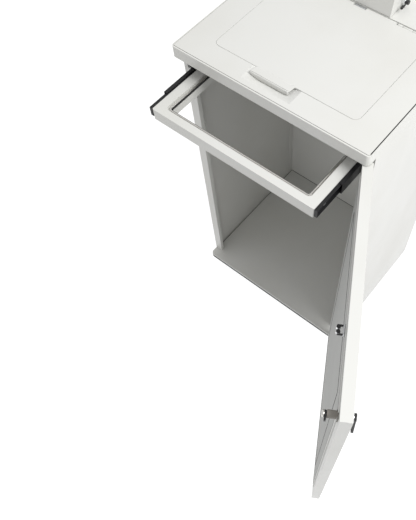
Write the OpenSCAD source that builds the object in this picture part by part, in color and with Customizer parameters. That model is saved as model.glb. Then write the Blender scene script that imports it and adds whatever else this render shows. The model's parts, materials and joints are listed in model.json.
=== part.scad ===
// Free-standing trash compactor: a sheet-metal cabinet with a flush loading lid,
// a hinged front door and a pull-out frame that holds the bag.
// Origin: middle of the plinth's underside, +X to the right, -Y to the front, +Z up.
// The door stands open and the bag frame is pulled out, as they are at rest.

/* [Cabinet] */
// Outer width
cab_w = 500; // [480:1:540]
// Outer depth
cab_d = 450; // [450:1:500]
// Height of the flat top
cab_h = 934; // [900:1:980]
// Sheet thickness of the walls
sheet = 2; // [1.5:0.1:2.5]
// Gap between the floor and the side walls
wall_lift = 10; // [6:1:16]
// Width of the walls' front flange
flange_w = 24; // [22:1:26]
// Height of the skirt around the top
skirt_h = 27; // [25:1:32]
// Height of the cabinet floor
floor_z = 79; // [72:1:90]
// Depth of the floor pan
floor_t = 14.5; // [10:0.5:18]
// Radius of the base's upright corners
corner_r = 13; // [8:1:16]
// Radius of the top's upright corners
top_r = 8; // [6:1:12]

/* [Lid] */
// Width of the lid
lid_w = 363; // [350:1:366]
// Distance from the cabinet's front to the lid's front
lid_setback = 60; // [56:1:70]
// Depth of the lid from front to back
lid_d = 274; // [270:1:276]
// Radius of the lid's corners
lid_r = 14; // [6:1:20]
// How far the finger tab reaches forward
tab_reach = 22; // [16:1:26]
// Width of the finger tab
tab_w = 98; // [80:1:110]

/* [Console] */
// Width of the rear console
console_w = 144; // [130:1:160]
// Height of the console above the top
console_h = 74; // [70:1:90]

/* [Bag drawer] */
// Width of the bag frame
frame_w = 424; // [420:0.5:425]
// Depth of the bag frame
frame_d = 380; // [370:1:384]
// Height of the bag frame
frame_h = 28.5; // [26:0.5:30]
// Gap from the flat top down to the bag frame
frame_drop = 66; // [64:1:70]
// How far the drawer stands out at rest
drawer_out = 146; // [100:1:150]
// Width of the frame's side bars
bar_side = 23; // [21:0.5:25]
// Width of the frame's front and rear bars
bar_front = 18.2; // [17:0.2:22]
// How far the left slide's middle member stands out
run_left = 96.5; // [60:0.5:110]
// How far the right slide's middle member stands out
run_right = 68; // [60:0.5:110]

/* [Door] */
// Thickness of the door
door_t = 21; // [20:0.5:24]
// Angle at which the door stands open
door_open = 120; // [95:1:124]
// Width of the door's inner flange
door_flange = 24; // [22:1:28]
// How far the door's liner stands up from its flange
liner_rise = 2.6; // [2:0.2:8]
// Distance of the latch shaft from the door's free edge
latch_in = 19; // [17:1:24]
// Distance of the latch shaft below the door's top
latch_down = 34; // [32:1:60]

/* [Hidden] */
$fn = 48;
e = 0.01;
gap = 0.4;

front_y = -cab_d / 2;
rear_y = cab_d / 2;
half_w = cab_w / 2;
wall_front = front_y + 28;
wall_top = cab_h - skirt_h - gap;

rim_side = 2.4;
rim_front = 3.4;
seam = 1.2;
panel_t = 3.4;

lid_front = front_y + lid_setback;
lid_rear = lid_front + lid_d;
lid_axis_y = lid_rear + 5;
lid_axis_z = cab_h - 4;
lid_edge_z = cab_h - 15.6;
liner_z = cab_h - 10;
hinge_x = 120;
tab_x = -17;
tab_t = 3;
tab_rise = 5;
scoop_x = -12;
scoop_y = lid_front - 4;
scoop_r = 77;
scoop_long_r = 197;
scoop_depth = 10;

throat_x = 166;
throat_front = lid_front + 15;
throat_rear = lid_rear - 15;
ledge_z = cab_h - 20;
throat_bottom = cab_h - 50;

plate_top = liner_z - 10;
plate_t = 8;
plate_x = 158;
plate_front = lid_front + 31;
plate_rear = lid_rear - 23;
plate_mid = (plate_front + plate_rear) / 2;
bellows_r = 98;

con_front = lid_axis_y + 4.5;
con_rear = rear_y - 0.5;
con_z = cab_h + 1.2;
con_top = cab_h + console_h;
con_lean = 11.5;
con_wall = 2.5;
con_half = console_w / 2;
vent_y = con_front + 48;
vent_z = cab_h + 14;
inlet_x = 49.6;
panel_mid_y = (con_front + con_lean + con_rear) / 2;

frame_top = cab_h - frame_drop;
frame_z = frame_top - frame_h;
frame_closed = wall_front + 3;
frame_front = frame_closed - drawer_out;
frame_rear = frame_front + frame_d;
half_frame = frame_w / 2;
rebate_z = frame_top - 6;
ledge_side = 8;
ledge_front = 4.6;
ring_w = 3.5;
ring_side_gap = 4;
ring_front_gap = 1.1;
ring_shift = 2;

slide_z = frame_top - 11;
slide_in = half_frame + 0.3;
slide_w = 12.7;
slide_t = 1.4;
slide_len = frame_d;
slide_half = [17, 14.5, 11.5];

door_top = wall_top - 1.6;
door_bottom = floor_z + 4;
door_h = door_top - door_bottom;
door_mid_z = (door_top + door_bottom) / 2;
door_in = front_y + door_t;
liner_in = door_in + liner_rise;
liner_x = half_w - door_flange - 3;
liner_inset = door_flange + 1;
liner_z0 = door_bottom + 60;
liner_z1 = door_top - liner_inset;
axis_x = half_w - 4.2;
axis_y = front_y + 9.6;
hinge_zs = [150, 790];
knuckle_r = 4;
knuckle_h = 16;
pin_r = 2;
latch_x = -half_w + latch_in;
latch_z = door_top - latch_down;
barrel_r = 7;
barrel_end = door_in + 18.5;
bore_r = 4.05;
catch_x = -87;

// ---- helpers ----

// Box from its low corner to its high corner
module span(low, high) {
    translate(low) cube(high - low);
}

// Plate with rounded upright corners
module plate(x, y0, y1, z0, z1, r) {
    translate([0, 0, z0]) linear_extrude(z1 - z0)
        union() {
            translate([-x + r, y0]) square([2 * (x - r), y1 - y0]);
            translate([-x, y0 + r]) square([2 * x, y1 - y0 - 2 * r]);
            for (sx = [-1, 1], cy = [y0 + r, y1 - r])
                translate([sx * (x - r), cy]) circle(r);
        }
}

// Round rod along X
module rod_x(x0, x1, y, z, r) {
    translate([x0, y, z]) rotate([0, 90, 0]) cylinder(r = r, h = x1 - x0);
}

// Round rod along Y
module rod_y(x, y0, y1, z, r) {
    translate([x, y0, z]) rotate([-90, 0, 0]) cylinder(r = r, h = y1 - y0);
}

// Swings what is built on the closed door to where the door stands
module on_door() {
    translate([axis_x, axis_y, 0]) rotate(door_open)
        translate([-axis_x, -axis_y, 0]) children();
}

// Draws the part for one side: 1 is right, -1 is left
module to_side(s) {
    if (s > 0) children();
    else mirror([1, 0, 0]) children();
}

// ---- cabinet ----

// Folded side wall: skin, front flange with its lip, and floor ledge. The hinges pass
// through the right one, the latch through the left one
module side_wall(s) {
    lip = 12;
    color("white") to_side(s) difference() {
        union() {
            span([half_w - sheet, wall_front, wall_lift], [half_w, rear_y - 1, wall_top]);
            span([half_w - flange_w, wall_front, floor_z + gap],
                [half_w - e, wall_front + sheet, wall_top]);
            span([half_w - flange_w, wall_front, floor_z + gap],
                [half_w - flange_w + sheet, wall_front + lip, wall_top]);
            span([half_w - flange_w, wall_front + sheet, floor_z - floor_t - sheet - 0.2],
                [half_w - e, rear_y - 24, floor_z - floor_t - 0.2]);
        }
        if (s > 0) for (z = hinge_zs)
            span([axis_x - 3.6, wall_front - 1, z - knuckle_h / 2 - 1],
                [half_w - sheet, wall_front + sheet + 1, z + knuckle_h / 2 + 1]);
        if (s < 0)
            span([half_w - flange_w - 1, wall_front - 1, latch_z - barrel_r - 2],
                [half_w - 11, wall_front + lip + 1, latch_z + barrel_r + 2]);
    }
}

module side_left() { side_wall(-1); }
module side_right() { side_wall(1); }

// Rear panel with forward-folded edges, set between the side walls
module rear_panel() {
    x = half_w - sheet - gap;
    fold = 18;
    color("white") difference() {
        span([-x, rear_y - 2.5 - fold, wall_lift + 2], [x, rear_y - 2.5 + sheet, wall_top]);
        span([-x + sheet, rear_y - 4 - fold, wall_lift], [x - sheet, rear_y - 2.5, wall_top + 1]);
    }
}

// Floor pan: its front lip is as wide as the cabinet, the rest lies between the walls
module base_plate() {
    x = half_w - sheet - gap;
    split = wall_front - gap;
    pan = 2.5;
    rear = rear_y - 24;
    color("whitesmoke") difference() {
        union() {
            intersection() {
                plate(half_w, front_y, rear_y, floor_z - floor_t, floor_z, corner_r);
                span([-cab_w, front_y - 1, 0], [cab_w, split, cab_h]);
            }
            span([-x, split - e, floor_z - floor_t], [x, rear, floor_z]);
            span([-x + 2.4, rear - e, floor_z - pan], [x - 2.4, rear_y - 2.7, floor_z]);
        }
        plate(x - pan, front_y + pan, rear - pan, floor_z - floor_t - 1, floor_z - pan, 9);
    }
}

// Plinth set back from the front; its underside rests on the floor
module plinth() {
    x = half_w - sheet - 2;
    top = floor_z - floor_t - sheet - 1;
    set_back = 62;
    color("dimgray") difference() {
        plate(x, front_y + set_back, rear_y - 26, 0, top, 6);
        plate(x - sheet, front_y + set_back + sheet, rear_y - 26 - sheet, sheet, top + 1, 4);
    }
}

// Skirt and narrow rim that frame the top
module top_frame() {
    z0 = cab_h - skirt_h;
    ledge = 10;
    color("white") difference() {
        plate(half_w, front_y, rear_y, z0, cab_h, top_r);
        plate(half_w - sheet, front_y + sheet, rear_y - sheet, z0 - 1, cab_h - 6.2,
            top_r - sheet);
        plate(half_w - rim_side, front_y + rim_front, rear_y - rim_front, cab_h - panel_t - 0.2,
            cab_h + 1, top_r - 3);
        plate(half_w - rim_side - ledge, front_y + rim_front + ledge,
            rear_y - rim_front - ledge, z0, cab_h + 1, 4);
    }
}

// Dish under the finger tab: where a shallow trough along X meets one along Y
module scoop(grow) {
    across = scoop_r + grow;
    along = scoop_long_r + grow;
    z = cab_h - scoop_depth - grow;
    intersection() {
        rod_x(scoop_x - across, scoop_x + across, scoop_y, z + across, across);
        rod_y(scoop_x, scoop_y - across, scoop_y + across, z + along, along);
    }
}

// Inset top plate with the lid opening and the dished finger scoop
module top_panel() {
    x = half_w - rim_side - seam;
    hole = lid_w / 2 + 1;
    dish_t = 2.2;
    color("white") difference() {
        union() {
            plate(x, front_y + rim_front + seam, rear_y - rim_front - seam, cab_h - panel_t,
                cab_h, top_r - 3 - seam);
            intersection() {
                scoop(dish_t);
                span([-half_w / 2, front_y + 16, cab_h - scoop_depth - dish_t],
                    [half_w / 2, lid_front - 1, cab_h - panel_t + e]);
            }
        }
        scoop(0);
        plate(hole, lid_front - 1, con_front - 0.3, cab_h - panel_t - 20, cab_h + 1, lid_r + 1);
    }
}

// Collar under the lid: a ledge for the seal and a short chute, hung from the panel
module throat() {
    out = lid_w / 2 + 6;
    riser = lid_w / 2 + 3.5;
    slot_x = [53, 75];
    color("silver") difference() {
        union() {
            span([-out, lid_front - 12, ledge_z], [out, con_front + 2, ledge_z + 2]);
            span([-throat_x - 2, throat_front - 2, throat_bottom],
                [throat_x + 2, throat_rear + 2, ledge_z + e]);
            for (s = [-1, 1])
                translate([s > 0 ? riser : -out, lid_front + 8, ledge_z])
                    cube([out - riser, lid_d - 16, cab_h - panel_t - ledge_z - 0.2]);
        }
        span([-throat_x, throat_front, throat_bottom - 1], [throat_x, throat_rear, cab_h]);
        span([slot_x[0], lid_front - 1, ledge_z - 1],
            [slot_x[1], lid_front + 6, ledge_z + 3]);
    }
}

// Rubber ring between the ledge and the lid
module lid_seal() {
    z0 = ledge_z + 2;
    z1 = lid_edge_z - 0.2;
    color("dimgray") difference() {
        plate(throat_x + 11, throat_front - 7, throat_rear + 7, z0, z1, 9);
        plate(throat_x + 4, throat_front - 2.6, throat_rear + 2.6, z0 - 1, z1 + 1, 4);
    }
}

// Solenoid that pins the lid shut while the press works
module lid_lock() {
    x = 64;
    y = lid_front - 3.5;
    color("darkslategray") union() {
        span([x - 15, y - 40, ledge_z - 22], [x + 15, y, ledge_z - 0.2]);
        rod_y(x, y - e, y + 3, ledge_z - 10, 3);
    }
}

// ---- lid ----

module lid_hinge_fixed() {
    color("silver") for (s = [-1, 1], t = [-1, 1]) difference() {
        union() {
            rod_x(s * hinge_x + t * 18.5 - 6, s * hinge_x + t * 18.5 + 6, lid_axis_y,
                lid_axis_z, 3.7);
            translate([s * hinge_x + t * 18.5 - 6, lid_axis_y - 2, ledge_z + 2])
                cube([12, 4, lid_axis_z - ledge_z - 4]);
        }
        rod_x(s * hinge_x - 30, s * hinge_x + 30, lid_axis_y, lid_axis_z, pin_r + 0.05);
    }
}

module lid_hinge_pins() {
    color("gainsboro") for (s = [-1, 1])
        rod_x(s * hinge_x - 25, s * hinge_x + 25, lid_axis_y, lid_axis_z, pin_r);
}

module lid_knuckles() {
    color("silver") for (s = [-1, 1]) difference() {
        union() {
            rod_x(s * hinge_x - 12, s * hinge_x + 12, lid_axis_y, lid_axis_z, 3.7);
            span([s * hinge_x - 12, lid_rear + 0.2, lid_axis_z - 3],
                [s * hinge_x + 12, lid_axis_y, lid_axis_z + 1]);
        }
        rod_x(s * hinge_x - 30, s * hinge_x + 30, lid_axis_y, lid_axis_z, pin_r + 0.05);
    }
}

// Lid shell with turned-down edges and the finger tab
module lid_panel() {
    x = lid_w / 2;
    color("white") union() {
        difference() {
            plate(x, lid_front, lid_rear, lid_edge_z, cab_h, lid_r);
            plate(x - sheet, lid_front + sheet, lid_rear - sheet, lid_edge_z - 1, cab_h - 3,
                lid_r - sheet);
        }
        translate([tab_x, lid_front + 1, cab_h - tab_t])
            rotate([-atan(tab_rise / tab_reach), 0, 0]) rotate([90, 0, 0])
                linear_extrude(tab_reach)
                    union() {
                        translate([-tab_w / 2, tab_t / 4]) square([tab_w, tab_t / 2]);
                        translate([-tab_w / 2 + 1, 0]) square([tab_w - 2, tab_t]);
                    }
        span([tab_x - tab_w / 2 + 0.5, lid_front - tab_reach - 0.6, cab_h - 1.6],
            [tab_x + tab_w / 2 - 0.5, lid_front - tab_reach + 1.6, cab_h + tab_rise - 2]);
    }
}

module lid_liner() {
    x = lid_w / 2 - sheet - gap;
    color("whitesmoke") plate(x, lid_front + sheet + gap, lid_rear - sheet - gap, liner_z,
        liner_z + 2, lid_r - sheet);
}

// Drilled tongue that the lock's bolt enters
module lid_striker() {
    x = 64;
    y = lid_front + 2.6;
    color("silver") difference() {
        span([x - 8, y, ledge_z - 17], [x + 8, y + 2.4, liner_z]);
        rod_y(x, y - 1, y + 4, ledge_z - 10, 3.6);
    }
}

// ---- press ----

// Flat air bellows, folded
module press_bellows() {
    h = liner_z - plate_top;
    folds = 4;
    step = h / folds;
    color("dimgray") translate([0, plate_mid, plate_top])
        for (i = [0 : folds - 1])
            translate([0, 0, i * step]) {
                cylinder(r = bellows_r, h = step * 0.6);
                translate([0, 0, step * 0.6 - e]) cylinder(r = bellows_r - 8, h = step * 0.4 + e);
            }
}

// Press plate with stiffening edge
module press_plate() {
    z0 = plate_top - plate_t;
    color("silver") difference() {
        plate(plate_x, plate_front, plate_rear, z0, plate_top, 12);
        plate(plate_x - 3, plate_front + 3, plate_rear - 3, z0 + 2.5, plate_top - 2.5, 9);
    }
}

module air_swivel_fixed() {
    color("goldenrod") difference() {
        union() {
            rod_x(-14, -0.3, lid_axis_y, lid_axis_z, 3.6);
            translate([-8, lid_axis_y, ledge_z + 2]) cylinder(r = 2.6, h = 13);
        }
        rod_x(-12, 1, lid_axis_y, lid_axis_z, 1.6);
    }
}

module air_swivel_lid() {
    color("goldenrod") difference() {
        union() {
            rod_x(0.3, 14, lid_axis_y, lid_axis_z, 3.6);
            span([5, lid_rear + 0.2, lid_axis_z - 2], [11, lid_axis_y, lid_axis_z + 2]);
        }
        rod_x(-1, 12, lid_axis_y, lid_axis_z, 1.6);
    }
}

// ---- console ----

// Side outline of the console, grown inward by an inset
module console_outline(inset, low) {
    polygon([[con_front + inset, low], [con_front + con_lean + inset, con_top - inset],
        [con_rear - inset, con_top - inset], [con_rear - inset, low]]);
}

module console_solid(inset, low, half) {
    rotate([90, 0, 90]) translate([0, 0, -half])
        linear_extrude(2 * half) console_outline(inset, low);
}

module console_housing() {
    slots = 6;
    pitch = 7;
    color("white") difference() {
        console_solid(0, con_z, con_half);
        console_solid(con_wall, con_z - 1, con_half - con_wall);
        span([-52, panel_mid_y - 32, con_top - 4], [52, panel_mid_y + 32, con_top + 1]);
        rod_x(con_half - 4, con_half + 1, vent_y, vent_z, 6);
        span([inlet_x - 14, con_rear - 4, cab_h + 16], [inlet_x + 14, con_rear + 1, cab_h + 36]);
        for (i = [0 : slots - 1])
            span([-50 + i * pitch, con_rear - 4, cab_h + 22],
                [-47 + i * pitch, con_rear + 1, cab_h + 54]);
    }
}

module console_gasket() {
    color("black") difference() {
        span([-con_half + 1.5, con_front + 1.5, cab_h], [con_half - 1.5, con_rear - 1.5, con_z]);
        span([-con_half + 8, con_front + 8, cab_h - 1], [con_half - 8, con_rear - 8, con_z + 1]);
    }
}

button_xs = [-34, -12];
button_y = panel_mid_y;
knob_x = 26;
lamp_xs = [-40, -34, -28];

module control_panel() {
    color("lightgray") difference() {
        span([-51.6, panel_mid_y - 31.6, con_top - 3], [51.6, panel_mid_y + 31.6, con_top]);
        for (x = button_xs)
            translate([x, button_y, con_top - 5]) cylinder(r = 8.3, h = 8);
        translate([knob_x, button_y, con_top - 5]) cylinder(r = 3.35, h = 8);
        for (x = lamp_xs)
            translate([x + 11, button_y + 20, con_top - 5]) cylinder(r = 1.8, h = 8);
    }
}

module indicator_lamps() {
    color("lime") for (x = lamp_xs)
        translate([x + 11, button_y + 20, con_top - 3]) cylinder(r = 1.7, h = 3.8);
}

module control_board() {
    color("darkgreen") union() {
        span([-50, panel_mid_y - 28, con_top - 13], [50, panel_mid_y + 22, con_top - 11.4]);
        for (x = [-44, -2, 36])
            span([x, panel_mid_y - 24, con_top - 11.5], [x + 8, panel_mid_y - 14, con_top - 7.5]);
    }
}

module button(x, tint) {
    color(tint) translate([x, button_y, 0]) union() {
        translate([0, 0, con_top - 2.6]) cylinder(r = 8, h = 6);
        translate([0, 0, con_top - 7]) cylinder(r = 3, h = 5);
    }
}

module button_start() { button(button_xs[0], "seagreen"); }
module button_stop() { button(button_xs[1], "firebrick"); }

module mode_knob() {
    color("dimgray") translate([knob_x, button_y, 0]) difference() {
        union() {
            translate([0, 0, con_top + 0.6]) cylinder(r = 13, h = 9);
            translate([0, 0, con_top + 9]) cylinder(r = 11, h = 3);
            translate([0, 0, con_top - 9]) cylinder(r = 3.3, h = 11);
        }
        translate([-0.8, 5, con_top + 11]) cube([1.6, 7, 2]);
    }
}

pump_y = con_rear - 38;
pump_z = cab_h + 31;
pump_r = 24;

// Air pump: motor barrel with a finned compressor head
module air_pump() {
    color("slategray") union() {
        rod_x(-52, 4, pump_y, pump_z, pump_r - 2);
        for (i = [0 : 4])
            rod_x(4 + i * 6, 7.6 + i * 6, pump_y, pump_z, pump_r);
        rod_x(4 - e, 30, pump_y, pump_z, pump_r - 6);
    }
}

module pump_bracket() {
    color("silver") difference() {
        span([-40, pump_y - 16, cab_h + 0.2], [-10, pump_y + 16, pump_z - 8]);
        rod_x(-60, 20, pump_y, pump_z, pump_r - 1.7);
    }
}

module air_valve() {
    color("goldenrod") union() {
        span([con_half - 24, vent_y - 11, cab_h + 2], [con_half - 8, vent_y + 11, cab_h + 26]);
        rod_x(con_half - 8 - e, con_half - 3, vent_y, vent_z, 5);
    }
}

module vent_collar() {
    color("silver") difference() {
        union() {
            rod_x(con_half + 0.1, con_half + 8, vent_y, vent_z, 8.5);
            rod_x(con_half - con_wall - 0.2, con_half + 0.2, vent_y, vent_z, 5.7);
        }
        rod_x(con_half - 4, con_half + 12, vent_y, vent_z, 3.55);
    }
}

// Spindle, hub and a thin arm with a thicker tip
module vent_lever() {
    reach = 22;
    x = con_half + 11;
    color("black") union() {
        rod_x(con_half - 2, x, vent_y, vent_z, 3.5);
        rod_x(con_half + 8.3, x + 3.5, vent_y, vent_z, 5);
        rod_y(x, vent_y - reach, vent_y, vent_z, 1.8);
        rod_y(x, vent_y - reach - 3, vent_y - reach + 5, vent_z, 2.9);
    }
}

module power_inlet() {
    color("black") difference() {
        span([inlet_x - 13.6, con_rear - 24, cab_h + 16.4],
            [inlet_x + 13.6, con_rear + 0.4, cab_h + 35.6]);
        span([inlet_x - 11, con_rear - 15, cab_h + 19], [inlet_x + 11, con_rear + 1, cab_h + 33]);
    }
}

// ---- bag drawer ----

// C-shaped channel of a telescopic slide, open towards the cabinet's middle or its wall
module channel(x_web, x_edge, half_h, y0) {
    low = min(x_web, x_edge);
    high = max(x_web, x_edge);
    cut_low = x_web < x_edge ? x_web + slide_t : low - 1;
    cut_high = x_web < x_edge ? high + 1 : x_web - slide_t;
    difference() {
        span([low, y0, slide_z - half_h], [high, y0 + slide_len, slide_z + half_h]);
        span([cut_low, y0 - 1, slide_z - half_h + slide_t],
            [cut_high, y0 + slide_len + 1, slide_z + half_h - slide_t]);
    }
}

module slide_outer(s) {
    color("black") to_side(s)
        channel(slide_in + slide_w, slide_in + 4.5, slide_half[0], frame_closed);
}

module slide_mid(s, run) {
    color("black") to_side(s)
        channel(slide_in + 10.7, slide_in + 2.2, slide_half[1], frame_closed - run);
}

module slide_inner(s) {
    color("black") to_side(s) union() {
        channel(slide_in, slide_in + 7.5, slide_half[2], frame_front);
        span([slide_in, frame_front, slide_z - slide_half[2]],
            [slide_in + 7.5, frame_front + 2, slide_z + slide_half[2]]);
    }
}

module slide_bracket(s) {
    color("gainsboro") to_side(s) difference() {
        span([slide_in + slide_w + 0.1, frame_closed + 24, slide_z - 18],
            [half_w - sheet - 0.2, frame_closed + slide_len - 30, slide_z + 18]);
        span([slide_in + slide_w + 2.1, frame_closed, slide_z - 16],
            [half_w - sheet - 2.2, frame_closed + slide_len, slide_z + 16]);
    }
}

module slide_outer_left() { slide_outer(-1); }
module slide_outer_right() { slide_outer(1); }
module slide_mid_left() { slide_mid(-1, run_left); }
module slide_mid_right() { slide_mid(1, run_right); }
module slide_inner_left() { slide_inner(-1); }
module slide_inner_right() { slide_inner(1); }
module slide_bracket_left() { slide_bracket(-1); }
module slide_bracket_right() { slide_bracket(1); }

// Screw heads inside the inner slide members
module slide_screws() {
    x = slide_in + slide_t + 0.1;
    color("silver") for (s = [-1, 1], y = [30, 190, 350])
        to_side(s) rod_x(x, x + 2.2, frame_front + y, slide_z, 4);
}

// One bar-shaped ring of the bag frame, inset from its outer edge
module frame_ring(side, front, z0, z1, hole_side, hole_front, r) {
    difference() {
        plate(half_frame - side, frame_front + front, frame_rear - front, z0, z1, r);
        plate(half_frame - hole_side, frame_front + hole_front, frame_rear - hole_front,
            z0 - 1, z1 + 1, r + 2);
    }
}

// Folded frame with a rebate for the ring, open underneath
module bag_frame() {
    lip = bar_side + ledge_side;
    lip_f = bar_front + ledge_front;
    color("white") difference() {
        plate(half_frame, frame_front, frame_rear, frame_z, frame_top, 3);
        plate(half_frame - bar_side, frame_front + bar_front, frame_rear - bar_front, rebate_z,
            frame_top + 1, 9);
        plate(half_frame - lip, frame_front + lip_f, frame_rear - lip_f, frame_z - 1,
            frame_top + 1, 7);
        frame_ring(sheet, sheet, frame_z - 1, rebate_z - sheet, lip - sheet, lip_f - sheet, 4);
        frame_ring(sheet, sheet, rebate_z - sheet - e, frame_top - sheet, bar_side - sheet,
            bar_front - sheet, 4);
    }
}

// Stainless ring that clamps the rim of the bag
module bag_ring() {
    x = half_frame - bar_side - ring_side_gap;
    y0 = frame_front + bar_front + ring_front_gap;
    y1 = frame_rear - bar_front - ring_front_gap;
    r = 8;
    color("silver") translate([ring_shift, 0, 0]) difference() {
        plate(x, y0, y1, rebate_z + 0.1, frame_top, r);
        plate(x - ring_w, y0 + ring_w, y1 - ring_w, rebate_z - 1, frame_top + 1, r - ring_w);
    }
}

// ---- door, built closed and swung open ----

// Pocket in the door's hinge edge for a hinge
module hinge_pocket(z, deep) {
    span([axis_x - deep, front_y + sheet + 0.2, z - 24], [half_w + 1, door_in + 1, z + 24]);
}

module latch_hole() {
    rod_y(latch_x, front_y - 1, door_in + 1, latch_z, barrel_r + 0.2);
}

// Outer pan with returned edges and an inner flange
module door_panel() {
    color("white") on_door() difference() {
        span([-half_w, front_y, door_bottom], [half_w, door_in, door_top]);
        span([-half_w + sheet, front_y + sheet, door_bottom + sheet],
            [half_w - sheet, door_in - sheet, door_top - sheet]);
        span([-half_w + door_flange, door_in - sheet - 1, liner_z0 - 1],
            [half_w - door_flange, door_in + 1, door_top - door_flange]);
        for (z = hinge_zs) hinge_pocket(z, 7);
        latch_hole();
    }
}

// Raised tray that closes the door's inner side
module door_liner() {
    y0 = door_in - sheet - 0.2;
    wall = 1.5;
    color("whitesmoke") on_door() difference() {
        span([-liner_x, y0, liner_z0], [liner_x, liner_in, liner_z1]);
        span([-liner_x + wall, y0 - 1, liner_z0 + wall],
            [liner_x - wall, liner_in - wall, liner_z1 - wall]);
    }
}

door_fill = sheet + 0.3;

module door_core() {
    color("khaki") on_door() difference() {
        span([-half_w + door_fill, front_y + door_fill, door_bottom + door_fill],
            [half_w - door_fill, door_in - sheet - 0.4, door_top - door_fill]);
        for (z = hinge_zs) hinge_pocket(z, 22);
        latch_hole();
    }
}

// Seal round the liner, on the flange; it stops short of the latch
module door_gasket() {
    out = 7;
    in = 0.2;
    color("gainsboro") on_door() difference() {
        span([-liner_x - out, door_in + 0.1, liner_z0 - out],
            [liner_x + out, liner_in - 0.8, liner_z1 + out]);
        span([-liner_x - in, door_in - 1, liner_z0 - in], [liner_x + in, liner_in, liner_z1 + in]);
        span([latch_x - 9, door_in - 1, latch_z - 9.5], [-liner_x + 1, liner_in, latch_z + 9.4]);
    }
}

// Double roller catch on the liner's top edge
module door_catch() {
    half = 9;
    z0 = liner_z1 - 11;
    z1 = z0 + 10.5;
    zc = (z0 + z1) / 2;
    color("dimgray") on_door() union() {
        span([catch_x - half, liner_in + 0.1, z0], [catch_x + half, liner_in + 2.1, z1]);
        for (s = [-1, 1]) {
            translate([catch_x + s * (half - 0.8), 0, 0])
                span([-0.8, liner_in + 2, zc - 3], [0.8, liner_in + 13, zc + 3]);
            translate([catch_x + s * 4.4, liner_in + 11, z0 + 0.5])
                cylinder(r = 3.7, h = z1 - z0 - 1);
        }
        span([catch_x - half, liner_in + 9.5, zc - 1.5], [catch_x + half, liner_in + 12.5, zc + 1.5]);
    }
}

// Wall leaves: a plate behind the flange and an arm to the middle knuckle
module hinge_leaves() {
    color("silver") for (z = hinge_zs) difference() {
        union() {
            span([half_w - flange_w + sheet + 0.3, wall_front + sheet + 0.1, z - 20],
                [half_w - sheet - 0.4, wall_front + sheet + 2.1, z + 20]);
            span([axis_x - 3, axis_y, z - knuckle_h / 2],
                [axis_x + 1.7, wall_front + sheet + 1, z + knuckle_h / 2]);
            translate([axis_x, axis_y, z - knuckle_h / 2]) cylinder(r = knuckle_r, h = knuckle_h);
        }
        translate([axis_x, axis_y, z - 30]) cylinder(r = pin_r + 0.05, h = 60);
    }
}

module hinge_pins() {
    color("gainsboro") for (z = hinge_zs)
        translate([axis_x, axis_y, z - 21]) cylinder(r = pin_r, h = 42);
}

// Door leaves: two knuckles on webs, and a block behind the door's flange
module door_hinge_leaves() {
    step = knuckle_h / 2 + 6.4;
    color("gainsboro") on_door() for (z = hinge_zs) difference() {
        union() {
            for (t = [-1, 1]) {
                translate([axis_x, axis_y, z + t * step - 6]) cylinder(r = knuckle_r, h = 12);
                span([axis_x - 20, axis_y - 1.5, z + t * step - 6],
                    [axis_x, axis_y + 1.5, z + t * step + 6]);
            }
            span([axis_x - 20, axis_y - 1.5, z - step - 6],
                [axis_x - 12, door_in - sheet - 0.1, z + step + 6]);
        }
        translate([axis_x, axis_y, z - 30]) cylinder(r = pin_r + 0.05, h = 60);
    }
}

// ---- door latch ----

cam_y = barrel_end + 0.5;
cam_t = 3.4;
lever_y = front_y - 7.5;

module latch_rose() {
    color("silver") on_door() difference() {
        union() {
            rod_y(latch_x, front_y - 3, front_y - 0.1, latch_z, 10.5);
            rod_y(latch_x, front_y - 1, door_in - 9, latch_z, barrel_r);
        }
        rod_y(latch_x, front_y - 9, door_in, latch_z, bore_r);
    }
}

// Barrel that reaches through the wall's flange, on a foot plate
module latch_body() {
    color("slategray") on_door() difference() {
        union() {
            rod_y(latch_x, door_in - 8.6, barrel_end, latch_z, barrel_r);
            span([latch_x - 9, door_in + 0.1, latch_z - 9], [latch_x + 4, door_in + 2.1, latch_z + 9]);
        }
        rod_y(latch_x, door_in - 10, barrel_end + 1, latch_z, bore_r);
    }
}

module latch_shaft() {
    color("gainsboro") on_door() union() {
        rod_y(latch_x, lever_y + 1, cam_y + cam_t + 0.5, latch_z, 4);
        rod_y(latch_x, cam_y + cam_t + 0.2, cam_y + cam_t + 3.7, latch_z, 6);
    }
}

// Grip that hangs down from the shaft, leaning towards the door's free edge
module latch_lever() {
    drop = 40;
    lean = 16;
    blade = [8, 4];
    color("black") on_door() difference() {
        union() {
            rod_y(latch_x, lever_y, front_y - 3.2, latch_z, 7);
            translate([latch_x, lever_y, latch_z]) rotate([0, lean, 0]) union() {
                translate([-blade.x / 2, 0, -drop]) cube([blade.x, blade.y, drop]);
                rod_y(0, 0, blade.y, -drop, blade.x / 2);
            }
        }
        rod_y(latch_x, lever_y + 0.8, front_y, latch_z, bore_r);
    }
}

module latch_cam() {
    reach = 12;
    color("silver") on_door() difference() {
        union() {
            rod_y(latch_x, cam_y, cam_y + cam_t, latch_z, 6);
            span([latch_x - reach, cam_y, latch_z - 5], [latch_x, cam_y + cam_t, latch_z + 5]);
        }
        rod_y(latch_x, cam_y - 1, cam_y + cam_t + 1, latch_z, bore_r);
    }
}

module latch_keeper() {
    color("silver") difference() {
        span([-half_w + sheet + 0.4, wall_front + sheet + 0.1, latch_z - 20],
            [-half_w + flange_w - sheet - 0.4, wall_front + sheet + 1.6, latch_z + 20]);
        rod_y(latch_x, wall_front, wall_front + sheet + 3, latch_z, barrel_r + 2);
    }
}

// Screw heads around the rear panel
module rear_screws() {
    color("gainsboro") for (s = [-1, 1], z = [60, 330, 600, 870])
        rod_y(s * (half_w - 24), rear_y - 0.5, rear_y + 1.4, z, 4);
}

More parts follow.
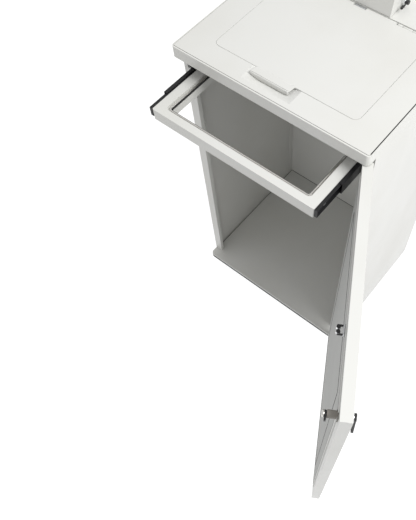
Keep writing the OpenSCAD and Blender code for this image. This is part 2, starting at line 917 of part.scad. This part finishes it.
side_left();
side_right();
rear_panel();
base_plate();
plinth();
top_frame();
top_panel();
throat();
lid_seal();
lid_lock();
lid_hinge_fixed();
lid_hinge_pins();
console_housing();
console_gasket();
control_panel();
control_board();
indicator_lamps();
air_pump();
pump_bracket();
air_valve();
air_swivel_fixed();
vent_collar();
power_inlet();
slide_bracket_left();
slide_bracket_right();
slide_outer_left();
slide_outer_right();
hinge_leaves();
hinge_pins();
latch_keeper();
rear_screws();
lid_panel();
lid_liner();
lid_knuckles();
lid_striker();
press_bellows();
air_swivel_lid();
press_plate();
bag_frame();
bag_ring();
slide_inner_left();
slide_inner_right();
slide_screws();
slide_mid_left();
slide_mid_right();
door_panel();
door_liner();
door_core();
door_gasket();
door_catch();
door_hinge_leaves();
latch_rose();
latch_body();
latch_shaft();
latch_lever();
latch_cam();
vent_lever();
button_start();
button_stop();
mode_knob();
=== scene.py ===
"""Looks of the white trash compactor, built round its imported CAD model."""

import json
import math

import bmesh
import bpy
from mathutils import Matrix, Vector


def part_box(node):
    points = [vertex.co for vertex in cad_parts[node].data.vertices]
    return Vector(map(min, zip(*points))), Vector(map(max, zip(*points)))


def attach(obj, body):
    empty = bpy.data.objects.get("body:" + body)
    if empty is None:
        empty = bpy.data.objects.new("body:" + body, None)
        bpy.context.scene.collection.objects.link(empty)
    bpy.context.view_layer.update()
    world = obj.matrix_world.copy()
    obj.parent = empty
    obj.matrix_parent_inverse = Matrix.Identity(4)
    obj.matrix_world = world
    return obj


MM = 0.001
TAB_MIDDLE = -17 * MM  # the finger tab's middle, left of the lid's

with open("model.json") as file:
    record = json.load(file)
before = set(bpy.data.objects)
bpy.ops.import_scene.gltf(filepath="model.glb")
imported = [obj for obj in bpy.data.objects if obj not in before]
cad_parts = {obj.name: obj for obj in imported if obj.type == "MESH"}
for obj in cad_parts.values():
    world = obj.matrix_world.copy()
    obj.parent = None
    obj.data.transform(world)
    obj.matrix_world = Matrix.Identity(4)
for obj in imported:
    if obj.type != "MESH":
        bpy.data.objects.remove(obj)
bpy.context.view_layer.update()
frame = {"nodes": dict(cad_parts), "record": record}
nodes = frame["nodes"]


# ---- camera, floor and light ----


def make_camera():
    """The eye: in front, to the right and well above the top, looking steeply down."""
    eye_x, eye_y, eye_rise = 0.5488, -0.8865, 0.8525
    cabinet_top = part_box("top_frame")[1].z
    azimuth, elevation, roll = math.radians(42.39), math.radians(62.31), math.radians(-4.01)
    look = Vector((-math.sin(azimuth) * math.cos(elevation),
                   math.cos(azimuth) * math.cos(elevation), -math.sin(elevation)))
    level = Vector((math.cos(azimuth), math.sin(azimuth), 0))
    rise = level.cross(look)
    right = level * math.cos(roll) + rise * math.sin(roll)
    up = right.cross(look)
    turn = Matrix((right, up, -look)).transposed().to_4x4()
    data = bpy.data.cameras.new("camera")
    data.sensor_width = 36
    data.lens = 40.49
    data.shift_x = -0.0920
    data.shift_y = 0.0452
    data.clip_start = 0.05
    camera = bpy.data.objects.new("camera", data)
    camera.matrix_world = Matrix.Translation((eye_x, eye_y, cabinet_top + eye_rise)) @ turn
    bpy.context.scene.collection.objects.link(camera)
    bpy.context.scene.camera = camera


def make_light(name, place, aim, size, power):
    """A round area lamp that points at a place."""
    data = bpy.data.lights.new(name, "AREA")
    data.shape = "DISK"
    data.size = size
    data.energy = power
    lamp = bpy.data.objects.new(name, data)
    lamp.location = place
    lamp.rotation_euler = (Vector(aim) - Vector(place)).to_track_quat("-Z", "Y").to_euler()
    bpy.context.scene.collection.objects.link(lamp)


def make_floor():
    """A wide pale floor that glows a little and throws no light on the object."""
    half, albedo, glow = 6.0, 0.2, 0.95
    mesh = bpy.data.meshes.new("floor")
    corners = [(-half, -half, 0), (half, -half, 0), (half, half, 0), (-half, half, 0)]
    mesh.from_pydata(corners, [], [(0, 1, 2, 3)])
    floor = bpy.data.objects.new("floor", mesh)
    bpy.context.scene.collection.objects.link(floor)
    pale = bpy.data.materials.new("floor_white")
    pale.use_nodes = True
    shader = pale.node_tree.nodes["Principled BSDF"]
    shader.inputs["Base Color"].default_value = (albedo, albedo, albedo, 1)
    shader.inputs["Roughness"].default_value = 0.95
    shader.inputs["Specular IOR Level"].default_value = 0.1
    shader.inputs["Emission Color"].default_value = (1, 1, 1, 1)
    shader.inputs["Emission Strength"].default_value = glow
    mesh.materials.append(pale)
    floor.visible_diffuse = False


def make_studio():
    """An even white sky and one soft key from the right and above."""
    sky = 0.68
    world = bpy.data.worlds.new("studio")
    world.use_nodes = True
    background = world.node_tree.nodes["Background"]
    background.inputs["Color"].default_value = (1, 1, 1, 1)
    background.inputs["Strength"].default_value = sky
    scene = bpy.context.scene
    scene.world = world
    scene.view_settings.view_transform = "Standard"
    make_light("key", place=(2.2, -0.05, 3.3), aim=(0, 0, 0.6), size=1.8, power=92)


make_camera()
make_floor()
make_studio()


# ---- materials ----


def shade(name):
    """A new material, its node tree and its main shader."""
    material = bpy.data.materials.new(name)
    material.use_nodes = True
    tree = material.node_tree
    return material, tree, tree.nodes["Principled BSDF"]


def noise(tree, scale, detail=3.0, stretch=(1, 1, 1)):
    """Noise in the object's own metres, finer along the axes that are stretched."""
    place = tree.nodes.new("ShaderNodeTexCoord")
    mapping = tree.nodes.new("ShaderNodeMapping")
    mapping.inputs["Scale"].default_value = stretch
    texture = tree.nodes.new("ShaderNodeTexNoise")
    texture.inputs["Scale"].default_value = scale
    texture.inputs["Detail"].default_value = detail
    tree.links.new(place.outputs["Object"], mapping.inputs["Vector"])
    tree.links.new(mapping.outputs["Vector"], texture.inputs["Vector"])
    return texture.outputs["Fac"]


def ramp(tree, source, low, high, start=0.3, end=0.7):
    """Turns a grey value into a blend between two colours or two numbers."""
    node = tree.nodes.new("ShaderNodeValToRGB")
    ends = [c if isinstance(c, tuple) else (c, c, c) for c in (low, high)]
    node.color_ramp.elements[0].position = start
    node.color_ramp.elements[1].position = end
    for element, colour in zip(node.color_ramp.elements, ends):
        element.color = (*colour, 1)
    tree.links.new(source, node.inputs["Fac"])
    return node.outputs["Color"]


def bump(tree, shader, height, strength, depth):
    """Roughens the surface by a grey value, with a strength and a depth in metres."""
    node = tree.nodes.new("ShaderNodeBump")
    node.inputs["Strength"].default_value = strength
    node.inputs["Distance"].default_value = depth
    tree.links.new(height, node.inputs["Height"])
    tree.links.new(node.outputs["Normal"], shader.inputs["Normal"])


def coated(name, colour, roughness, grain, spread=0.02, coat=0.0):
    """Powder coat or moulded plastic: faint mottling and an orange-peel surface."""
    material, tree, shader = shade(name)
    dim = tuple(c * (1 - spread) for c in colour)
    tree.links.new(ramp(tree, noise(tree, 14, 5), dim, colour), shader.inputs["Base Color"])
    tree.links.new(ramp(tree, noise(tree, 60, 3), roughness - 0.05, roughness + 0.05),
                   shader.inputs["Roughness"])
    bump(tree, shader, noise(tree, grain, 2), 0.18, 0.0002)
    shader.inputs["Coat Weight"].default_value = coat
    shader.inputs["Coat Roughness"].default_value = 0.2
    return material


def metal(name, colour, roughness, stretch=(1, 1, 1), grain=500, mottle=0.12):
    """Bare or plated metal: brushed where stretched, mottled where not."""
    material, tree, shader = shade(name)
    shader.inputs["Metallic"].default_value = 1.0
    dim = tuple(c * (1 - mottle) for c in colour)
    tree.links.new(ramp(tree, noise(tree, 40, 6, stretch), dim, colour),
                   shader.inputs["Base Color"])
    fine = noise(tree, grain, 4, stretch)
    tree.links.new(ramp(tree, fine, roughness * 0.8, roughness * 1.25),
                   shader.inputs["Roughness"])
    bump(tree, shader, fine, 0.06, 0.0001)
    return material


def sheet_paint(name, colour, roughness):
    """Stove-enamelled sheet steel: orange peel, faint cloudiness and a trace of dust."""
    material, tree, shader = shade(name)
    dusty = tuple(c * t for c, t in zip(colour, (0.955, 0.95, 0.935)))
    cloud = ramp(tree, noise(tree, 5, 6), dusty, colour, 0.25, 0.55)
    tree.links.new(cloud, shader.inputs["Base Color"])
    smear = noise(tree, 11, 5, (1, 1, 0.35))
    tree.links.new(ramp(tree, smear, roughness - 0.06, roughness + 0.08),
                   shader.inputs["Roughness"])
    bump(tree, shader, noise(tree, 420, 2), 0.22, 0.00012)
    shader.inputs["Specular IOR Level"].default_value = 0.35
    shader.inputs["Coat Weight"].default_value = 0.12
    shader.inputs["Coat Roughness"].default_value = 0.2
    return material


WHITE = (0.665, 0.665, 0.642)
LOOKS = {
    "white_paint": sheet_paint("white_paint", WHITE, 0.36),
    "inner_paint": coated("inner_paint", (0.43, 0.435, 0.42), 0.62, 900, 0.05),
    "dark_paint": coated("dark_paint", (0.03, 0.03, 0.032), 0.6, 700),
    "zinc": metal("zinc", (0.66, 0.67, 0.68), 0.32),
    "stainless": metal("stainless", (0.80, 0.78, 0.74), 0.24, (1, 1, 12)),
    "chrome": metal("chrome", (0.82, 0.83, 0.84), 0.08, grain=120, mottle=0.04),
    "black_steel": coated("black_steel", (0.007, 0.007, 0.008), 0.55, 600, 0.25),
    "black_plastic": coated("black_plastic", (0.018, 0.018, 0.019), 0.5, 1400, 0.2),
    "grey_plastic": coated("grey_plastic", (0.45, 0.46, 0.47), 0.48, 1400, 0.05),
    "rubber": coated("rubber", (0.018, 0.018, 0.018), 0.75, 1100, 0.3),
    # grey_rubber is lighter than the rubber is: a painted highlight, so the door's gasket, which
    # lies in shade, reads lit from above; the lid's gap seal shares it
    "grey_rubber": coated("grey_rubber", (0.76, 0.76, 0.74), 0.7, 1100, 0.06),
    "bush_plastic": coated("bush_plastic", (0.27, 0.25, 0.225), 0.55, 800, 0.15),
    "foam": coated("foam", (0.72, 0.62, 0.36), 0.9, 350, 0.15),
    "brass": metal("brass", (0.70, 0.53, 0.24), 0.25),
    "aluminium": metal("aluminium", (0.60, 0.61, 0.63), 0.42, grain=260),
    "board": coated("board", (0.02, 0.16, 0.06), 0.4, 300, 0.3),
    "green_plastic": coated("green_plastic", (0.05, 0.30, 0.12), 0.25, 1400, 0.06, 0.5),
    "red_plastic": coated("red_plastic", (0.45, 0.03, 0.03), 0.25, 1400, 0.06, 0.5),
    "lamp": coated("lamp", (0.20, 0.75, 0.25), 0.15, 1400, 0.06, 1.0),
}


def soften(obj, width, segments=2):
    """Rounds the sharp edges of a carried-over node, as folding and paint do."""
    weld = obj.modifiers.new("weld", "WELD")
    weld.merge_threshold = 1e-5
    bevel = obj.modifiers.new("bevel", "BEVEL")
    bevel.width = width
    bevel.segments = segments
    bevel.limit_method = "ANGLE"
    bevel.angle_limit = math.radians(40)
    bevel.harden_normals = True


def dress_nodes():
    """Gives every CAD node its slot's material and its eased edges."""
    for part in frame["record"]["subparts"]:
        node = nodes[part["node"]]
        node.data.materials.clear()
        node.data.materials.append(LOOKS[part["material_slot"]])
        soften(node, 0.6 * MM)


dress_nodes()


# ---- mesh helpers ----


def piece(name, mesh, body, slot, width=0.0, place=None):
    """A new object on a body, in a slot's material, with eased edges if asked."""
    bmesh.ops.recalc_face_normals(mesh, faces=mesh.faces)
    if place is not None:
        mesh.transform(place)
    data = bpy.data.meshes.new(name)
    mesh.to_mesh(data)
    mesh.free()
    data.materials.append(LOOKS[slot])
    for face in data.polygons:
        face.use_smooth = True
    obj = bpy.data.objects.new(name, data)
    bpy.context.scene.collection.objects.link(obj)
    if width:
        soften(obj, width)
    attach(obj, body)
    return obj


def outline(low, high, inset, radius, steps=8):
    """Points round a rectangle with rounded corners, set in from a box."""
    x0, x1 = low.x + inset, high.x - inset
    y0, y1 = low.y + inset, high.y - inset
    centres = ((x1 - radius, y1 - radius), (x0 + radius, y1 - radius),
               (x0 + radius, y0 + radius), (x1 - radius, y0 + radius))
    points = []
    for corner, (cx, cy) in enumerate(centres):
        for i in range(steps + 1):
            angle = (corner + i / steps) * math.pi / 2
            points.append((cx + radius * math.cos(angle), cy + radius * math.sin(angle)))
    return points


def skin(mesh, rows):
    """Quads between each closed row of points and the next."""
    for row, ahead in zip(rows, rows[1:]):
        for i in range(len(row)):
            j = (i + 1) % len(row)
            mesh.faces.new((row[i], row[j], ahead[j], ahead[i]))


def band(loops):
    """A closed band: each loop is an outline and a height, joined to the next and round."""
    mesh = bmesh.new()
    rows = [[mesh.verts.new((x, y, z)) for x, y in points] for points, z in loops]
    skin(mesh, rows + rows[:1])
    return mesh


def lofted(sections):
    """A solid through its sections, with a flat face at each end."""
    mesh = bmesh.new()
    rows = [[mesh.verts.new(point) for point in section] for section in sections]
    skin(mesh, rows)
    mesh.faces.new(rows[0])
    mesh.faces.new(rows[-1])
    return mesh


def strip(path, depth, z0, z1):
    """A closed strip along an open path: from the path to a depth on its left side."""
    sections = []
    for i, (x, y) in enumerate(path):
        before, after = path[max(i - 1, 0)], path[min(i + 1, len(path) - 1)]
        way = Vector((after[0] - before[0], after[1] - before[1])).normalized()
        inner = (x - way.y * depth, y + way.x * depth)
        sections.append(((x, y, z0), (x, y, z1), (*inner, z1), (*inner, z0)))
    return lofted(sections)


def front_path(x0, x1, y_front, y_back, radius, steps=8):
    """Path from the back left, round two rounded front corners, to the back right."""
    path = [(x0, y_back)]
    for cx, start in ((x0 + radius, math.pi), (x1 - radius, 1.5 * math.pi)):
        for i in range(steps + 1):
            angle = start + i / steps * math.pi / 2
            path.append((cx + radius * math.cos(angle), y_front + radius + radius * math.sin(angle)))
    path.append((x1, y_back))
    return path


def turned(profile, segments=40):
    """A solid turned about Z from its profile of radius and height, low to high."""
    mesh = bmesh.new()
    turns = [2 * math.pi * i / segments for i in range(segments)]
    rows = []
    for radius, height in profile:
        points = [(radius * math.cos(t), radius * math.sin(t), height) for t in turns]
        if radius == 0:
            points = points[:1]
        rows.append([mesh.verts.new(point) for point in points])
    for low, high in zip(rows, rows[1:]):
        for i in range(segments):
            j = (i + 1) % segments
            ring = [low[i % len(low)], low[j % len(low)], high[j % len(high)], high[i % len(high)]]
            mesh.faces.new(list(dict.fromkeys(ring)))
    return mesh


# ---- seams and linings ----


def add_top_seam():
    """Black bead sunk in the seam between the inset top panel and the cabinet's rim: painted shade
    that darkens the seam line.
    """
    low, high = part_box("top_panel")
    seam, sunk, thick, crown, radius = 1.2 * MM, 2.2 * MM, 1.6 * MM, 0.25 * MM, 5 * MM
    top = high.z - sunk
    outer = outline(low, high, -seam, radius)
    middle = outline(low, high, -seam / 2, radius - seam / 2)
    inner = outline(low, high, 0, radius - seam)
    loops = [(outer, top - thick), (outer, top), (middle, top + crown), (inner, top),
             (inner, top - thick)]
    piece("top_seam_shade_bead", band(loops), "cabinet", "rubber")


def add_side_seam():
    """Black strip laid over the seam on the side of the door's hinges: painted shade, as the seam on
    that side lies in shadow and reads darker.
    """
    low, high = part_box("top_panel")
    width, lap, front, back = 1.9 * MM, 0.9 * MM, 4 * MM, 6 * MM
    sunk, proud = 0.1 * MM, 0.15 * MM
    left = high.x + lap - width
    path = [(left, low.y + front), (left, high.y - back)]
    piece("top_seam_shade_strip", strip(path, -width, high.z - sunk, high.z + proud),
          "cabinet", "rubber")


def add_base_edge():
    """Dark strip round the front edge of the floor pan: painted shade for the lower front face of
    the pan, which faces the floor and lies in shadow.
    """
    low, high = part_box("base_plate")
    proud, thick, radius, back = 0.35 * MM, 0.6 * MM, 13 * MM, 27 * MM
    above, below = 0.2 * MM, 5.5 * MM
    path = front_path(low.x - proud, high.x + proud, low.y - proud, low.y + back,
                      radius + proud)
    piece("base_edge_shade_strip", strip(path, thick, low.z + above, high.z - below),
          "cabinet", "dark_paint", 0.15 * MM)


def add_floor_beads():
    """Sealing bead where the floor pan meets the two walls and the back."""
    floor_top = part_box("base_plate")[1].z
    wall, back_wall, from_front, bead = 2.3 * MM, 2.1 * MM, 3 * MM, (1.3 * MM, 1.0 * MM)
    back_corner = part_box("rear_panel")[1]
    inner, back = back_corner.x - wall, back_corner.y - back_wall
    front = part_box("side_left")[0].y + from_front
    path = [(-inner, front), (-inner, back), (inner, back), (inner, front)]
    piece("floor_bead", strip(path, -bead[0], floor_top, floor_top + bead[1]),
          "cabinet", "rubber")


def add_lid_gap_seal():
    """Soft grey seal that fills the gap round the lid, broken at the finger tab; its grey_rubber is
    lightened, a painted highlight.
    """
    low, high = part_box("lid_liner")
    gap, off, thick, tall, sunk = 2.4 * MM, 0.95 * MM, 0.75 * MM, 3 * MM, 1.1 * MM
    radius, short, tab_half = 14.9 * MM, 6 * MM, 50.5 * MM
    x, front = high.x + gap + off, low.y - gap - off
    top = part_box("top_panel")[1].z - sunk
    path = front_path(-x, x, front, high.y - short, radius)
    half = len(path) // 2
    runs = {"left": path[:half] + [(TAB_MIDDLE - tab_half, front)],
            "right": [(TAB_MIDDLE + tab_half, front)] + path[half:]}
    for side, points in runs.items():
        piece("lid_gap_seal_" + side, strip(points, thick, top - tall, top),
              "cabinet", "grey_rubber")


def add_lid_rear_roll():
    """The lid's rear edge, rolled round the hinge axis between the hinges."""
    pins_low, pins_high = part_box("lid_hinge_pins")
    y, z = (pins_low.y + pins_high.y) / 2, (pins_low.z + pins_high.z) / 2
    radius, wall, lap, steps = 3.95 * MM, 1.3 * MM, 2.0 * MM, 21
    rear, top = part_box("lid_liner")[1].y + lap, z + radius
    profile = [(rear, top)]
    for i in range(steps + 1):
        angle = math.pi / 2 - i / steps * 1.5 * math.pi
        profile.append((y + radius * math.cos(angle), z + radius * math.sin(angle)))
    profile += [(y - radius, top - wall), (rear, top - wall)]
    inner, outer = (16 * MM, 93 * MM), (146.5 * MM, 180.5 * MM)
    spans = [(-far, -near) for near, far in (outer, inner)] + [inner, outer]
    for number, ends in enumerate(spans):
        mesh = lofted([[(x, py, pz) for py, pz in profile] for x in ends])
        piece("lid_rear_roll_%d" % number, mesh, "lid", "white_paint", 0.2 * MM)


def add_tab_roll():
    """Rolled front edge of the finger tab, which dips into the scoop of the top."""
    half, thick, steps = 48.9 * MM, 1.9 * MM, 32
    scoop_middle, scoop_radius, scoop_depth = -12 * MM, 197 * MM, 10 * MM
    deepest, clear = 7.6 * MM, 0.9 * MM
    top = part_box("top_panel")[1].z
    front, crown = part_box("lid_panel")[0].y - 0.3 * MM, top + 4.7 * MM
    sections = []
    for i in range(steps + 1):
        x = TAB_MIDDLE + (2 * i / steps - 1) * half
        rise = scoop_radius - math.sqrt(scoop_radius ** 2 - (x - scoop_middle) ** 2)
        bottom = max(top - scoop_depth + rise, top - deepest) + clear
        sections.append(((x, front + thick, crown),
                         (x, front + 0.9 * MM, crown - 0.3 * MM),
                         (x, front + 0.25 * MM, crown - 1.1 * MM),
                         (x, front, crown - 2.2 * MM),
                         (x, front, bottom + 0.5 * MM),
                         (x, front + 0.5 * MM, bottom),
                         (x, front + thick, bottom)))
    piece("tab_front_roll", lofted(sections), "lid", "white_paint")


def add_ring_lining():
    """Dark band round the inner face of the steel ring, from just below the ring to just under its
    top.
    """
    low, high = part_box("bag_ring")
    wall, lining, radius, below, sunk = 3.5 * MM, 0.7 * MM, 8 * MM, 0.6 * MM, 0.5 * MM
    outer = outline(low, high, wall, radius - wall)
    inner = outline(low, high, wall + lining, radius - wall - lining)
    z0, z1 = low.z - below, high.z - sunk
    piece("bag_ring_lining", band([(outer, z0), (outer, z1), (inner, z1), (inner, z0)]),
          "bag_drawer", "rubber")


add_top_seam()
add_side_seam()
add_base_edge()
add_floor_beads()
add_lid_gap_seal()
add_lid_rear_roll()
add_tab_roll()
add_ring_lining()


# ---- door hardware ----


DOOR_OPEN = math.radians(120)
# The liner's face and the catch's middle, on the closed door
LINER_FACE = -201.4 * MM
CATCH_X = -87 * MM


def door_place():
    """Carries a point of the closed door to where the door stands."""
    joints = frame["record"]["behaviour"]["joints"]
    hinge = next(joint for joint in joints if joint["name"] == "door_hinge")
    axis = Vector((hinge["pos_m"][0], hinge["pos_m"][1], 0))
    swing = Matrix.Rotation(DOOR_OPEN, 4, "Z")
    return Matrix.Translation(axis) @ swing @ Matrix.Translation(-axis)


DOOR = door_place()
UPRIGHT = Matrix.Rotation(-math.pi / 2, 4, "X")


def add_catch_rollers():
    """Bright sleeves on the two rollers of the door's catch."""
    low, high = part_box("door_catch")
    radius, apart, out, short = 4.0 * MM, 4.4 * MM, 11 * MM, 0.9 * MM
    z0, length = low.z + short, high.z - low.z - 2 * short
    for tag, side in (("a", -1), ("b", 1)):
        barrel = turned([(0, 0), (radius * 0.8, 0), (radius, length * 0.12),
                         (radius * 0.93, length * 0.5), (radius, length * 0.88),
                         (radius * 0.8, length), (0, length)])
        spot = Matrix.Translation((CATCH_X + side * apart, LINER_FACE + out, z0))
        piece("catch_roller_" + tag, barrel, "door", "chrome", place=DOOR @ spot)


def door_band(name, slot, corners, insets, radii, depths):
    """A flat band that stands on the door's liner, between two rounded outlines."""
    (left, z0), (right, z1) = corners
    low, high = Vector((left, -z1, 0)), Vector((right, -z0, 0))
    outer, inner = (outline(low, high, inset, r) for inset, r in zip(insets, radii))
    near, far = (LINER_FACE + depth for depth in depths)
    piece(name, band([(outer, near), (outer, far), (inner, far), (inner, near)]),
          "door", slot, place=DOOR @ UPRIGHT)


def add_catch_rim():
    """Zinc rim clamped round the base plate of the door's catch."""
    low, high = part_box("door_catch")
    half, proud = 9.5 * MM, 0.3 * MM
    corners = ((CATCH_X - half, low.z - proud), (CATCH_X + half, high.z + proud))
    door_band("catch_rim", "zinc", corners, (0, 2.2 * MM), (1.5 * MM, 0.6 * MM),
              (-0.1 * MM, 2.5 * MM))


def add_liner_bead():
    """Dark bead laid round the door's liner, well inside its edge: painted shade for a shadow line
    on the liner.
    """
    low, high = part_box("door_liner")
    half, inside, edge, radius = 225 * MM, 42 * MM, 0.65 * MM, 6 * MM
    corners = ((inside - half, low.z + inside), (half - inside, high.z - inside))
    door_band("door_liner_shade_bead", "rubber", corners, (-edge, edge),
              (radius + edge, radius - edge), (-0.3 * MM, 0.5 * MM))


def add_screws():
    """Two domed screws with a recess, on the foot of the latch's bush."""
    foot_x, foot_y, latch_z = -237.0 * MM, -201.9 * MM, 871 * MM
    apart, r = 5.6 * MM, 1.9 * MM
    for tag, side in (("a", 1), ("b", -1)):
        head = turned([(0, -0.3 * MM), (r, -0.3 * MM), (r, 0.15 * MM), (r * 0.8, 0.55 * MM),
                       (r * 0.4, 0.75 * MM), (r * 0.3, 0.35 * MM), (0, 0.3 * MM)], 24)
        spot = Matrix.Translation((foot_x, foot_y, latch_z + side * apart))
        piece("latch_screw_" + tag, head, "door", "zinc", place=DOOR @ spot @ UPRIGHT)


add_catch_rollers()
add_catch_rim()
add_liner_bead()
add_screws()
